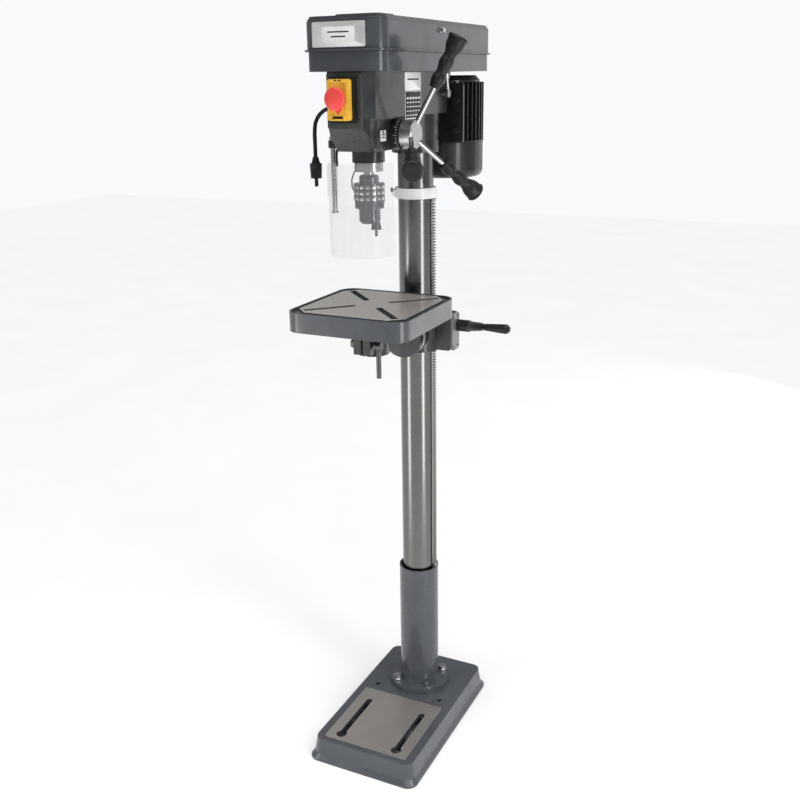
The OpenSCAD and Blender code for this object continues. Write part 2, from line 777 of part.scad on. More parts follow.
module spindle_pulley() {
    color("silver") translate([0, spindle_y, 0]) {
        translate([0, 0, pulley_z]) step_pulley(spindle_top_r + fit, spindle_steps);
        difference() {
            rod_z(14, 1485, pulley_z);
            rod_z(spindle_top_r + fit, 1484, pulley_z + 1);
        }
    }
}

module idler_arm() {
    color("dimgray") {
        translate([0, idler_pivot_y, 0]) rod_z(8, 1490, 1518);
        translate([0, 0, 1512]) linear_extrude(6) polygon(concat(
            arc(0, idler_pivot_y, 11, 0, 180, 16), arc(0, idler_y, 11, 180, 360, 16)));
        translate([0, idler_y, 0]) rod_z(8, 1518, 1580);
    }
}

module idler_pulley() {
    color("silver") translate([0, idler_y, pulley_z]) step_pulley(8 + fit, idler_steps);
}

module motor_pulley() {
    color("silver") translate([0, motor_y, 0]) {
        translate([0, 0, pulley_z]) step_pulley(9.5, motor_steps);
        difference() {
            rod_z(16, 1512, pulley_z);
            rod_z(9.5, 1511, pulley_z + 1);
        }
    }
}

module belt_front() {
    color("black") translate([0, 0, pulley_z + front_belt_step * step_h + 7 - belt_hw])
        belt_loop(idler_y, idler_steps[front_belt_step], spindle_y, spindle_steps[front_belt_step]);
}

module belt_rear() {
    color("black") translate([0, 0, pulley_z + rear_belt_step * step_h + 7 - belt_hw])
        belt_loop(motor_y, motor_steps[rear_belt_step], idler_y, idler_steps[rear_belt_step]);
}

// ---------------------------------------------------------------- motor

module motor_housing() {
    color("darkslategray") translate([0, motor_y, 0]) difference() {
        union() {
            rod_z(motor_r, motor_z0, motor_z1 - 10);
            translate([0, 0, motor_z1 - 10]) cylinder(r1 = motor_r, r2 = motor_r - 9, h = 10);
            for (a = [-60:9:240]) rotate(a) box(motor_r - 2, fin_r, -1.4, 1.4, motor_z0, motor_z1 - 14);
            box(-50, 50, plate_y + plate_t - motor_y, -50, 1375, 1475);
            rod_z(fin_r, motor_z0, motor_z0 + 4);
        }
        rod_z(motor_r - 9, motor_z0 + 8, motor_z1 - 10);
        rod_z(10, motor_z0 - 1, motor_z1 + 1);
    }
    color("saddlebrown") translate([0, motor_y, 0]) difference() {
        rod_z(motor_r - 9, 1380, 1460);
        rod_z(42, 1379, 1461);
    }
}

module fan_cover() {
    color("darkslategray") translate([0, motor_y, 0]) difference() {
        rotate_extrude() polygon(concat([[0, fan_z0]], arc(fin_r - 17, fan_z0 + 16, 16, -90, 0, 8),
            [[fin_r - 1, motor_z0 - 0.5], [fin_r - 3, motor_z0 - 0.5]],
            arc(fin_r - 17, fan_z0 + 16, 14, 0, -90, 8), [[0, fan_z0 + 2]]));
        for (r = [16:9:52], a = [0:60:300]) rotate(a + r) translate([r, 0, 0]) rod_z(2.5, fan_z0 - 1, fan_z0 + 3);
    }
}

module motor_rotor() {
    color("silver") translate([0, motor_y, 0]) {
        rod_z(9.5, 1290, 1576);
        rod_z(41, 1385, 1455);
        rod_z(22, 1322, 1346);
        for (a = [0:45:315]) rotate(a) box(18, 58, -1.2, 1.2, 1322, 1346);
    }
}

module motor_mount() {
    color("dimgray") {
        translate([0, plate_y + plate_t, 1421]) rotate([90, 0, 0]) slab(156, 122, 5, plate_t);
        for (s = [-1, 1]) translate([s * bar_x, 0, bar_z]) rod_y(bar_r, -30, plate_y + 1);
        for (sx = [-1, 1], z = [1385, 1448]) translate([sx * 62, plate_y + 1, z]) rotate([90, 0, 0]) hex_z(8, 0, 8);
    }
}

module motor_lock() {
    color("silver") translate([0, 35, bar_z]) {
        rod_x(5, 43.4, 60);
        rotate([0, 90, 0]) hex_z(9, 56, 63);
        translate([60, 0, 0]) rotate([12, 0, 0]) rod_z(3.5, 0, 34);
        translate([60, 0, 0]) rotate([12, 0, 0]) rod_z(5.5, 30, 41);
    }
}

// ---------------------------------------------------------------- rack, bracket and table

module rack() {
    mid = (rack_z0 + rack_z1) / 2;
    first = ceil((rack_z0 + 4 - gear_z) / rack_pitch);
    last = floor((rack_z1 - 4 - gear_z) / rack_pitch);
    root = rack_face - 4.5;
    outline = concat([[rack_back, rack_z0 - tongue_h], [tongue_face, rack_z0 - tongue_h], [tongue_face, rack_z0],
            [rack_face, rack_z0]],
        [for (k = [first:last]) let (z = gear_z + rack_pitch * k) each
            [[rack_face, z - 2.3], [root, z - 1.4], [root, z + 1.4], [rack_face, z + 2.3]]],
        [[rack_face, rack_z1], [tongue_face, rack_z1], [tongue_face, rack_z1 + tongue_h], [rack_back, rack_z1 + tongue_h]]);
    color("silver") rotate([90, 0, 0]) translate([0, 0, -rack_hw]) linear_extrude(2 * rack_hw) polygon(outline);
}

module bracket() {
    color("slategray") difference() {
        union() {
            rod_z(bracket_r, bracket_z0, bracket_z1);
            translate([0, 0, tilt_z]) rod_y(tilt_r - 1, tilt_face_y, -20);
            translate([0, (box_y0 + box_y1) / 2, 0]) rotate([90, 0, 0]) translate([(30 + box_x1) / 2, (box_z0 + bracket_z1) / 2,
                -(box_y1 - box_y0) / 2]) slab(box_x1 - 30, bracket_z1 - box_z0, 8, box_y1 - box_y0);
            box(-20, 20, 40, 76, 936, 988);
        }
        rod_z(col_r + gap, tilt_z - tilt_r - 1, bracket_z1 + 1);
        box(20, rack_face + 0.8, -rack_hw - 0.5, rack_hw + 0.5, bracket_z0 - 1, bracket_z1 + 1);
        box(30, gear_x + wheel_r + 1.5, -rack_hw - 0.5, 18, gear_z - 17.5, worm_z + 8);
        translate([gear_x, 0, gear_z]) rod_y(5 + fit, box_y0 + 4, box_y1 + 1);
        translate([0, worm_y, worm_z]) rod_x(worm_r + 0.6, 45, box_x1 + 1);
        translate([0, 0, tilt_z]) rod_y(8, tilt_face_y - 1, -38);
        box(-2, 2, 20, 80, 930, 994);
        translate([0, clamp_y, clamp_z]) rod_x(6 + fit, -24, 24);
    }
}

module gear_cover() {
    w = box_y1 - box_y0;
    h = bracket_z1 - box_z0;
    color("gainsboro") difference() {
        union() {
            translate([box_x1, (box_y0 + box_y1) / 2, (box_z0 + bracket_z1) / 2]) rotate([90, 0, 90]) slab(w, h, 8, cover_plate_t);
            for (s = [-1, 1], t = [-1, 1]) translate([box_x1, (box_y0 + box_y1) / 2 + s * (w / 2 - 6),
                (box_z0 + bracket_z1) / 2 + t * (h / 2 - 7)]) rod_x(3, 1, cover_plate_t + 1.6);
        }
        translate([0, worm_y, worm_z]) rod_x(5 + fit, box_x1 - 1, box_x1 + 10);
    }
}

module tilt_bolt() {
    color("silver") translate([0, 0, tilt_z]) {
        rod_y(8 - fit, tilt_face_y - 28, -39);
        translate([0, tilt_face_y - 13.5, 0]) rotate([90, 0, 0]) hex_z(13, 0, 11);
    }
}

module worm() {
    color("silver") translate([0, worm_y, worm_z]) {
        rod_x(5, 47, crank_x1 - 5.4);
        for (k = [0:6]) translate([48 + 3.6 * k, 0, 0]) rotate([0, 90, 0]) rotate_extrude()
            polygon([[4, 0], [worm_r, 0.8], [worm_r, 1.6], [4, 2.4]]);
    }
}

module lift_gear() {
    color("goldenrod") translate([gear_x, 0, gear_z]) rotate([-90, 0, 0]) {
        translate([0, 0, -12.5]) cylinder(r = 5, h = 31.5);
        translate([0, 0, -6.5]) rotate(180) spur(gear_teeth, gear_r, 13);
        translate([0, 0, 7.2]) difference() {
            cylinder(r = wheel_r, h = 9.6);
            for (k = [0:19]) rotate(18 * k) translate([wheel_r - 2, -1, -1]) cube([3, 2, 12]);
        }
    }
}

module crank() {
    tip_r = 9;
    color("black") translate([0, worm_y, worm_z]) difference() {
        union() {
            rod_x(13, crank_x0, crank_x1 - 0.4);
            rotate([crank_angle, 0, 0]) translate([crank_x1 - 9, 0, 0]) rotate([90, 0, 90]) linear_extrude(8)
                polygon(concat(arc(0, 0, 11, 90, 270, 16), arc(crank_len, 0, tip_r, -90, 90, 12)));
        }
        rod_x(5, crank_x0 - 1, crank_x1 - 5.4);
    }
    color("silver") translate([0, worm_y, worm_z]) rotate([crank_angle, 0, 0]) translate([0, crank_len, 0]) {
        rod_x(4, crank_x1 - 4, crank_x1 + crank_grip_len + 3);
        rod_x(6, crank_x1 + crank_grip_len + 2, crank_x1 + crank_grip_len + 4);
    }
}

module crank_grip() {
    x0 = crank_x1 + 1;
    color("black") translate([0, worm_y, worm_z]) rotate([crank_angle, 0, 0]) translate([x0, crank_len, 0]) rotate([0, 90, 0])
        rotate_extrude() polygon([[4 + fit, 0], [6.5, 0], [7.8, 3], [8.4, 12], [10.3, 40], [11, 53], [9.6, crank_grip_len - 1],
            [7.5, crank_grip_len], [4 + fit, crank_grip_len]]);
}

module bracket_clamp() {
    color("dimgray") translate([0, clamp_y, clamp_z]) {
        rod_x(6, -56, 24);
        rotate([0, 90, 0]) hex_z(10.5, 20.5, 29);
        translate([-50, 0, 0]) rotate([30, 0, 0]) rod_z(4.5, -30, 30);
        rod_x(9, -57, -43);
    }
}

module table_arm() {
    color("slategray") difference() {
        union() {
            translate([0, 0, tilt_z]) rod_y(tilt_r, tilt_face_y - 13, tilt_face_y - 1);
            box(-21, 21, table_y + 5, tilt_face_y - 10, 977, 1010);
            translate([0, 0, tilt_z]) intersection() {
                rod_y(tilt_r, tilt_face_y - 40, tilt_face_y - 8);
                box(-40, 40, tilt_face_y - 40, tilt_face_y - 8, 19, 45);
            }
            translate([0, table_y, 0]) rod_z(boss_r, boss_z0, boss_z1);
            box(-19, 19, table_y - 50, table_y - 20, lock_z - 20, lock_z + 20);
        }
        translate([0, table_y, 0]) rod_z(stem_r + fit, boss_z0 - 1, boss_z1 + 1);
        translate([0, 0, tilt_z]) rod_y(8 + fit, tilt_face_y - 42, tilt_face_y);
        box(-2, 2, table_y - 60, table_y, boss_z0 - 1, boss_z1 + 1);
        translate([0, lock_y, lock_z]) rod_x(6 + fit, -25, 25);
    }
}

module table_lock() {
    color("dimgray") translate([0, lock_y, lock_z]) {
        rod_x(6, -26, 38);
        rotate([0, -90, 0]) hex_z(10, 20, 27);
        translate([32, 0, 0]) rod_z(5, -67, 8);
        rod_x(9, 24, 39);
    }
}

module table() {
    z0 = table_top - table_rim_h;
    inner_w = table_w - 8;
    land_w = table_w - 26;
    cut = 28;
    h = land_w / 2;
    color("slategray") translate([0, table_y, 0]) difference() {
        union() {
            difference() {
                translate([0, 0, z0]) slab(table_w, table_w, table_corner, table_rim_h - 0.5);
                translate([0, 0, z0 - 1]) slab(inner_w, inner_w, table_corner - 4, 25);
                translate([0, 0, table_top - 5]) slab(inner_w, inner_w, table_corner - 4, 6);
            }
            translate([0, 0, table_top - 6]) linear_extrude(6) polygon([[h, -h + cut], [h, h - cut], [h - cut, h],
                [-h + cut, h], [-h, h - cut], [-h, -h + cut], [-h + cut, -h], [h - cut, -h]]);
            for (a = [0, 90]) rotate(a) box(-inner_w / 2 - 1, inner_w / 2 + 1, -4, 4, z0 + 4, z0 + 26);
            rod_z(32, boss_z1 + 1.5, z0 + 26);
            rod_z(stem_r, boss_z0 - 4, z0 + 26);
        }
        for (a = [45:90:315]) rotate(a) {
            box(42, 142, -table_slot_w / 2, table_slot_w / 2, z0 + 20, table_top + 1);
            translate([42, 0, 0]) rod_z(table_slot_w / 2, z0 + 20, table_top + 1);
        }
    }
}

base();
column_support();
flange_bolts();
column();
rack_collar();
set_screws();
head();
cover_tray();
lid_hinge();
switch_plate();
switch_body();
spring_housing();
return_spring();
pulley_bearings();
belt_front();
belt_rear();
guard_rod();
cord_gland();
power_cord();
plug();
rack();
bracket();
gear_cover();
tilt_bolt();
crank();
worm();
crank_grip();
lift_gear();
bracket_clamp();
table_arm();
table();
table_lock();
belt_cover();
motor_housing();
fan_cover();
motor_mount();
motor_rotor();
motor_pulley();
idler_arm();
idler_pulley();
spindle_pulley();
quill();
spindle();
chuck_body();
chuck_sleeve();
jaw_1();
jaw_2();
jaw_3();
feed_hub();
feed_rods();
feed_grips();
feed_shaft();
depth_ring();
guard_shield();
chuck_key();
key_wire();
switch_flap();
stop_button();
start_button();
motor_lock();
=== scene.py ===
"""Looks for the drill press: materials for every CAD node, small trim, the cord, light and camera."""
import math

import bmesh
import bpy
from mathutils import Matrix, Vector


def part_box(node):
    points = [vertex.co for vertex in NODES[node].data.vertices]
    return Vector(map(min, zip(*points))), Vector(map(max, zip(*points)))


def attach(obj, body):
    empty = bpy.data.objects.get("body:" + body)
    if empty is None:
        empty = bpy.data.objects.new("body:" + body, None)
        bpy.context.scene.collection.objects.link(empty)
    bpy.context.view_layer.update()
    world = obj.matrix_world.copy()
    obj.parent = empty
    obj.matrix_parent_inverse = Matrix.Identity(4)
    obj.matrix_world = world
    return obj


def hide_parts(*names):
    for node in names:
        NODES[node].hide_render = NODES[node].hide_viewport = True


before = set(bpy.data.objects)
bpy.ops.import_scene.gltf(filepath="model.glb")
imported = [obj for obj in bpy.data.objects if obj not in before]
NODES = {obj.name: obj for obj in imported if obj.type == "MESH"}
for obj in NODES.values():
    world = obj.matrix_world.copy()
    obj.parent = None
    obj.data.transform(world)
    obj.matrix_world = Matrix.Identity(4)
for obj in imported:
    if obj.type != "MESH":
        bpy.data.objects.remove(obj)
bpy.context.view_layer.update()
MM = 0.001

# Places on the CAD model, in mm
BASE_PAD_Z = 53.5
TABLE_FACE_Z = 1059.7
FEED_AXIS_Z = 1390
TILT_AXIS_Z = 958

UP = Vector((0, 0, 1))
CREASE = math.radians(32)               # edges sharper than this stay sharp when a piece is shaded smooth
NOISE_LOW, NOISE_HIGH = 0.35, 0.65      # most of a noise texture's values lie between these


def mm(x, y, z):
    return Vector((x * MM, y * MM, z * MM))


# ------------------------------------------------------------------ camera

CAM_PLACE = mm(895.45, -1926.14, 1489.51)
CAM_YAW = math.radians(26.02)
CAM_PITCH = math.radians(18.19)
CAM_ROLL = math.radians(0.83)
CAM_LENS = 43.8


def make_camera():
    ahead = Vector((-math.sin(CAM_YAW) * math.cos(CAM_PITCH), math.cos(CAM_YAW) * math.cos(CAM_PITCH),
                    -math.sin(CAM_PITCH)))
    level = Vector((math.cos(CAM_YAW), math.sin(CAM_YAW), 0))
    over = level.cross(ahead)
    right = level * math.cos(CAM_ROLL) - over * math.sin(CAM_ROLL)
    up = level * math.sin(CAM_ROLL) + over * math.cos(CAM_ROLL)
    data = bpy.data.cameras.new("camera")
    data.lens = CAM_LENS
    data.sensor_width = 36
    data.clip_end = 50
    cam = bpy.data.objects.new("camera", data)
    cam.matrix_world = Matrix.Translation(CAM_PLACE) @ Matrix((right, up, -ahead)).transposed().to_4x4()
    bpy.context.scene.collection.objects.link(cam)
    bpy.context.scene.camera = cam


make_camera()


# ------------------------------------------------------------------ node helpers

class Shader:
    """A material with one Principled shader, and short calls that add nodes to it."""

    def __init__(self, name, **values):
        self.mat = bpy.data.materials.new(name)
        self.mat.use_nodes = True
        self.tree = self.mat.node_tree
        self.bsdf = self.tree.nodes["Principled BSDF"]
        self.coords = self.tree.nodes.new("ShaderNodeTexCoord")
        for key, value in values.items():
            self.bsdf.inputs[key.replace("_", " ")].default_value = value

    def link(self, a, b):
        self.tree.links.new(a, b)

    def add(self, kind, **props):
        node = self.tree.nodes.new(kind)
        for key, value in props.items():
            setattr(node, key, value)
        return node

    def place(self, stretch=(1, 1, 1)):
        node = self.add("ShaderNodeMapping")
        node.inputs["Scale"].default_value = stretch
        self.link(self.coords.outputs["Object"], node.inputs["Vector"])
        return node.outputs["Vector"]

    def noise(self, scale, detail=3, stretch=(1, 1, 1), rough=0.55):
        node = self.add("ShaderNodeTexNoise")
        node.inputs["Scale"].default_value = scale
        node.inputs["Detail"].default_value = detail
        node.inputs["Roughness"].default_value = rough
        self.link(self.place(stretch), node.inputs["Vector"])
        return node.outputs["Fac"]

    def spread(self, fac, low, high):
        node = self.add("ShaderNodeMapRange")
        node.inputs["From Min"].default_value = NOISE_LOW
        node.inputs["From Max"].default_value = NOISE_HIGH
        node.inputs["To Min"].default_value = low
        node.inputs["To Max"].default_value = high
        self.link(fac, node.inputs["Value"])
        return node.outputs["Result"]

    def tint(self, fac, dark, light):
        node = self.add("ShaderNodeValToRGB")
        ends = node.color_ramp.elements
        ends[0].position = NOISE_LOW
        ends[1].position = NOISE_HIGH
        ends[0].color = (*dark, 1)
        ends[1].color = (*light, 1)
        self.link(fac, node.inputs["Fac"])
        return node.outputs["Color"]

    def math(self, op, a, b):
        node = self.add("ShaderNodeMath", operation=op)
        for socket, value in zip(node.inputs, (a, b)):
            if isinstance(value, (int, float)):
                socket.default_value = value
            else:
                self.link(value, socket)
        return node.outputs["Value"]

    def mix(self, fac, a, b):
        node = self.add("ShaderNodeMix", data_type="RGBA")
        self.link(fac, node.inputs["Factor"])
        for index, value in ((6, a), (7, b)):
            if isinstance(value, tuple):
                node.inputs[index].default_value = (*value, 1)
            else:
                self.link(value, node.inputs[index])
        return node.outputs[2]

    def above(self, axis, limit):
        """1 where the object's own coordinate on this axis is over the limit in mm, else 0."""
        node = self.add("ShaderNodeSeparateXYZ")
        self.link(self.coords.outputs["Object"], node.inputs["Vector"])
        return self.math("GREATER_THAN", node.outputs[axis], limit * MM)

    def bump(self, height, strength, distance, under=None):
        node = self.add("ShaderNodeBump")
        node.inputs["Strength"].default_value = strength
        node.inputs["Distance"].default_value = distance
        self.link(height, node.inputs["Height"])
        if under is not None:
            self.link(under, node.inputs["Normal"])
        return node.outputs["Normal"]

    def rounded(self, radius_mm):
        node = self.add("ShaderNodeBevel", samples=4)
        node.inputs["Radius"].default_value = radius_mm * MM
        return node.outputs["Normal"]

    def set(self, socket, value):
        self.link(value, self.bsdf.inputs[socket])


def lighter(color, k):
    return tuple(min(1, c * k) for c in color)


# ------------------------------------------------------------------ materials

def enamel(name, color, cast=0.0, gloss=0.28, round_mm=1.2):
    """Glossy paint: orange peel, a little dust, and a casting's skin below it when cast is above 0."""
    s = Shader(name, Coat_Weight=0.35, Coat_Roughness=0.07, IOR=1.5, Specular_IOR_Level=0.38)
    s.set("Base Color", s.tint(s.noise(9, 5), lighter(color, 0.88), lighter(color, 1.1)))
    s.set("Roughness", s.spread(s.noise(26, 4), gloss * 0.8, gloss * 1.3))
    normal = s.bump(s.noise(420, 2), 0.05, 0.0006, s.rounded(round_mm))
    if cast:
        normal = s.bump(s.noise(95, 5, rough=0.7), cast, 0.0009, normal)
    s.set("Normal", normal)
    return s


def two_finish(name, color, height, steel, grind):
    """Cast enamel below a height in mm and a ground steel face above it."""
    s = enamel(name, color, cast=0.09, gloss=0.3)
    mask = s.above(2, height)
    skin = s.bsdf.inputs["Base Color"].links[0].from_socket
    lines = s.noise(60, 6, stretch=grind, rough=0.75)
    patch = s.noise(7, 4)
    face = s.mix(s.spread(patch, 0, 0.55), s.tint(lines, lighter(steel, 0.78), lighter(steel, 1.15)),
                 lighter(steel, 0.8))
    s.set("Base Color", s.mix(mask, skin, face))
    s.set("Metallic", s.math("MULTIPLY", mask, 0.75))
    rough = s.bsdf.inputs["Roughness"].links[0].from_socket
    ground_share = s.math("MULTIPLY", mask, s.spread(lines, 0.3, 0.5))
    paint_share = s.math("MULTIPLY", s.math("SUBTRACT", 1.0, mask), rough)
    s.set("Roughness", s.math("ADD", ground_share, paint_share))
    return s


def metal(name, color, rough=0.25, lines=(1, 1, 30), scale=45, depth=0.05, round_mm=0.5):
    """Turned or ground metal with fine lines across the stretched axis."""
    s = Shader(name, Metallic=1.0)
    streak = s.noise(scale, 5, stretch=lines, rough=0.7)
    cloud = s.noise(8, 3)
    s.set("Base Color", s.mix(s.spread(cloud, 0, 0.4), s.tint(streak, lighter(color, 0.85), lighter(color, 1.08)),
                              lighter(color, 0.82)))
    s.set("Roughness", s.spread(streak, rough * 0.75, rough * 1.35))
    s.set("Normal", s.bump(streak, depth, 0.0004, s.rounded(round_mm)))
    return s


def plastic(name, color, rough=0.38, grain=380, depth=0.12, round_mm=0.8):
    """Moulded plastic or rubber with a fine grain."""
    s = Shader(name, IOR=1.46, Specular_IOR_Level=0.3)
    s.set("Base Color", s.tint(s.noise(14, 4), lighter(color, 0.85), lighter(color, 1.15)))
    s.set("Roughness", s.spread(s.noise(40, 4), rough * 0.85, rough * 1.2))
    s.set("Normal", s.bump(s.noise(grain, 3), depth, 0.0005, s.rounded(round_mm)))
    return s


def clear_sheet(name):
    """Clear polycarbonate: mostly see-through, faintly hazed and scratched."""
    s = Shader(name, IOR=1.45)
    haze = s.noise(6, 4)
    scratch = s.noise(70, 5, stretch=(1, 1, 0.08), rough=0.8)
    s.set("Base Color", s.tint(haze, (0.44, 0.46, 0.47), (0.52, 0.54, 0.55)))
    s.set("Alpha", s.spread(scratch, 0.08, 0.14))
    s.set("Roughness", s.spread(haze, 0.05, 0.12))
    return s


# Paint colours, and the ground steel of the base's pad and the table's face
SLATE = (0.058, 0.064, 0.072)
PANEL = (0.052, 0.053, 0.053)
GROUND = (0.40, 0.375, 0.35)

LOOKS = {
    "base": two_finish("base_enamel", SLATE, BASE_PAD_Z, GROUND, (1, 22, 1)),
    "table": two_finish("table_enamel", SLATE, TABLE_FACE_Z, lighter(GROUND, 1.85), (18, 1, 1)),
    "cast": enamel("cast_enamel", SLATE, cast=0.08),
    # The table arm and bracket get a near-black copy of the slate enamel. It is partly the arm's own black casting
    # and partly painted shade for the bracket, which sits under the table.
    "arm": enamel("arm_black_and_shade_enamel", lighter(SLATE, 0.28), cast=0.08, gloss=0.34),
    "head": enamel("head_enamel", lighter(SLATE, 0.3), cast=0.06, gloss=0.3),
    "sheet": enamel("sheet_enamel", SLATE, gloss=0.22),
    "motor": enamel("motor_enamel", (0.009, 0.010, 0.012), cast=0.06, gloss=0.34),
    "panel": enamel("panel_grey", PANEL, gloss=0.42, round_mm=0.6),
    "ring": enamel("light_grey", (0.80, 0.80, 0.78), cast=0.05, gloss=0.4),
    "gear_end": enamel("gear_end_grey", (0.13, 0.13, 0.13), cast=0.08, gloss=0.4),
    "column": metal("column_steel", (0.175, 0.172, 0.165), rough=0.2, lines=(1, 1, 22)),
    "steel": metal("turned_steel", (0.46, 0.46, 0.46), rough=0.24),
    "rack": metal("rack_steel", (0.42, 0.41, 0.39), rough=0.36, lines=(1, 14, 1)),
    "chrome": metal("chrome_plate", (0.50, 0.50, 0.51), rough=0.1, depth=0.02),
    "chuck": metal("chuck_steel", (0.085, 0.085, 0.10), rough=0.16, round_mm=0.8),
    "dark": metal("dark_steel", (0.10, 0.10, 0.105), rough=0.34, depth=0.1),
    "alloy": metal("cast_alloy", (0.50, 0.50, 0.49), rough=0.36, lines=(1, 1, 4), scale=120, depth=0.03),
    "bronze": metal("bronze", (0.50, 0.36, 0.16), rough=0.32),
    "black": plastic("black_plastic", (0.014, 0.014, 0.014)),
    "rubber": plastic("black_rubber", (0.011, 0.011, 0.011), rough=0.6, grain=220, depth=0.2),
    "yellow": plastic("yellow_plastic", (0.90, 0.52, 0.06), rough=0.3, grain=500, depth=0.05),
    "red": plastic("red_plastic", (0.90, 0.085, 0.075), rough=0.25, grain=500, depth=0.04, round_mm=1.2),
    "green": plastic("green_plastic", (0.02, 0.28, 0.07), rough=0.3),
    "clear": clear_sheet("clear_sheet"),
    "bright": metal("bright_screws", (0.75, 0.75, 0.74), rough=0.2),
    "brushed_plate": metal("brushed_plate", (0.90, 0.90, 0.90), rough=0.42, lines=(1, 1, 26), scale=140,
                           depth=0.02),
    "label_white": plastic("label_white", (0.74, 0.74, 0.72), rough=0.4, depth=0.03, round_mm=0.2),
    "dark_print": plastic("dark_print", (0.02, 0.02, 0.022), rough=0.4, depth=0.03, round_mm=0.2),
}

NODE_LOOKS = {
    "base": ["base"],
    "table": ["table"],
    "cast": ["column_support"],
    "arm": ["table_arm", "bracket"],
    "head": ["head"],
    "sheet": ["cover_tray", "belt_cover"],
    "motor": ["motor_housing", "fan_cover", "motor_mount"],
    "panel": ["switch_plate"],
    "ring": ["rack_collar"],
    "gear_end": ["gear_cover"],
    "column": ["column"],
    "rack": ["rack"],
    "steel": ["flange_bolts", "lid_hinge", "pulley_bearings", "worm", "motor_rotor", "quill", "spindle",
              "feed_shaft", "motor_lock", "guard_rod"],
    "chrome": ["feed_rods"],
    "chuck": ["chuck_body", "chuck_sleeve", "jaw_1", "jaw_2", "jaw_3", "chuck_key"],
    "dark": ["set_screws", "spring_housing", "return_spring", "tilt_bolt", "bracket_clamp", "table_lock",
             "idler_arm", "key_wire"],
    "alloy": ["motor_pulley", "idler_pulley", "spindle_pulley", "feed_hub"],
    "bronze": ["lift_gear"],
    "black": ["crank", "crank_grip", "feed_grips", "depth_ring", "switch_body", "plug"],
    "rubber": ["belt_front", "belt_rear", "cord_gland", "power_cord"],
    "yellow": ["switch_flap"],
    "red": ["stop_button"],
    "green": ["start_button"],
    "clear": ["guard_shield"],
}


def dress(obj, look):
    obj.data.materials.clear()
    obj.data.materials.append(LOOKS[look].mat)


for look, names in NODE_LOOKS.items():
    for name in names:
        node = NODES[name]
        for slot in node.material_slots:
            slot.material = LOOKS[look].mat


# ------------------------------------------------------------------ cord

# Level out of the gland on the head's left side, then down to the plug
CORD_ROUTE_MM = [(-71, -195, 1440), (-80, -195, 1440), (-90, -195, 1440), (-99, -195, 1438), (-108, -195, 1434),
                 (-116, -195, 1428), (-122, -195, 1421), (-127, -195, 1412), (-129, -195, 1402),
                 (-130, -195, 1391), (-130, -195, 1380), (-130, -195, 1369), (-130, -195, 1358), (-130, -195, 1346)]
CORD_D = 0.008


def add_lead(name, points, radius, spline_type, resolution):
    """A round rubber cable through the points, or smoothly near them when the spline is NURBS."""
    data = bpy.data.curves.new(name, "CURVE")
    data.dimensions = "3D"
    data.bevel_depth = radius
    data.bevel_resolution = resolution
    data.use_fill_caps = True
    spline = data.splines.new(spline_type)
    spline.points.add(len(points) - 1)
    spline.use_endpoint_u = spline_type == "NURBS"
    for point, place in zip(spline.points, points):
        point.co = (*place, 1)
    lead = bpy.data.objects.new(name, data)
    bpy.context.scene.collection.objects.link(lead)
    dress(lead, "rubber")
    return lead


def make_cord():
    points = [mm(*p) for p in CORD_ROUTE_MM]
    cord = add_lead("power_lead", points, CORD_D / 2, "POLY", 4)
    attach(cord, "frame")
    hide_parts("power_cord")


make_cord()


# ------------------------------------------------------------------ mesh helpers

FRONT = Matrix(((1, 0, 0), (0, 0, -1), (0, 1, 0)))      # local Z points at the operator
RIGHT = Matrix(((0, 0, 1), (1, 0, 0), (0, 1, 0)))       # local Z points to the operator's right


def place_at(place, turn=Matrix.Identity(3)):
    return Matrix.Translation(place) @ turn.to_4x4()


def outward(angle):
    """The level direction at this angle about the upright axis."""
    return Vector((math.cos(angle), math.sin(angle), 0))


def facing(out):
    """Turns local Z to point out, with local Y upright."""
    return Matrix((UP.cross(out), UP, out)).transposed()


def bar_outline(half_width, half_height):
    """Corners of a rectangle about the origin, in mm."""
    return [(-half_width, -half_height), (half_width, -half_height), (half_width, half_height),
            (-half_width, half_height)]


def round_outline(width, height, radius, steps=6):
    """Points of a rounded rectangle about the origin, in mm."""
    points = []
    for quarter, (sx, sy) in enumerate(((1, 1), (-1, 1), (-1, -1), (1, -1))):
        for i in range(steps + 1):
            a = math.radians(90 * (quarter + i / steps))
            points.append((sx * (width / 2 - radius) + radius * math.cos(a),
                           sy * (height / 2 - radius) + radius * math.sin(a)))
    return points


def add_plate(bm, outline, z0, z1, edge, where=Matrix.Identity(4)):
    """A flat plate with a chamfered top edge of the given size."""
    count = len(outline)
    reach = max(max(abs(x), abs(y)) for x, y in outline)
    inner = (reach - edge) / reach
    levels = [(z0, 1.0), (z1 - edge, 1.0), (z1 - edge * 0.3, 1 - (1 - inner) * 0.35), (z1, inner)]
    rings = [[bm.verts.new(where @ mm(x * k, y * k, z)) for x, y in outline] for z, k in levels]
    bm.faces.new(list(reversed(rings[0])))
    bm.faces.new(rings[-1])
    for low, high in zip(rings, rings[1:]):
        for i in range(count):
            j = (i + 1) % count
            bm.faces.new((low[i], low[j], high[j], high[i]))


def add_lathe(bm, profile, where=Matrix.Identity(4), steps=40):
    """A solid turned about local Z from (radius, z) points in mm; it starts and ends on the axis."""
    inside = profile[1:-1]
    rings = [[bm.verts.new(where @ mm(r * math.cos(math.tau * i / steps), r * math.sin(math.tau * i / steps), z))
              for i in range(steps)] for r, z in inside]
    ends = [bm.verts.new(where @ mm(0, 0, z)) for _, z in (profile[0], profile[-1])]
    for i in range(steps):
        j = (i + 1) % steps
        bm.faces.new((ends[0], rings[0][j], rings[0][i]))
        bm.faces.new((ends[1], rings[-1][i], rings[-1][j]))
        for low, high in zip(rings, rings[1:]):
            bm.faces.new((low[i], low[j], high[j], high[i]))


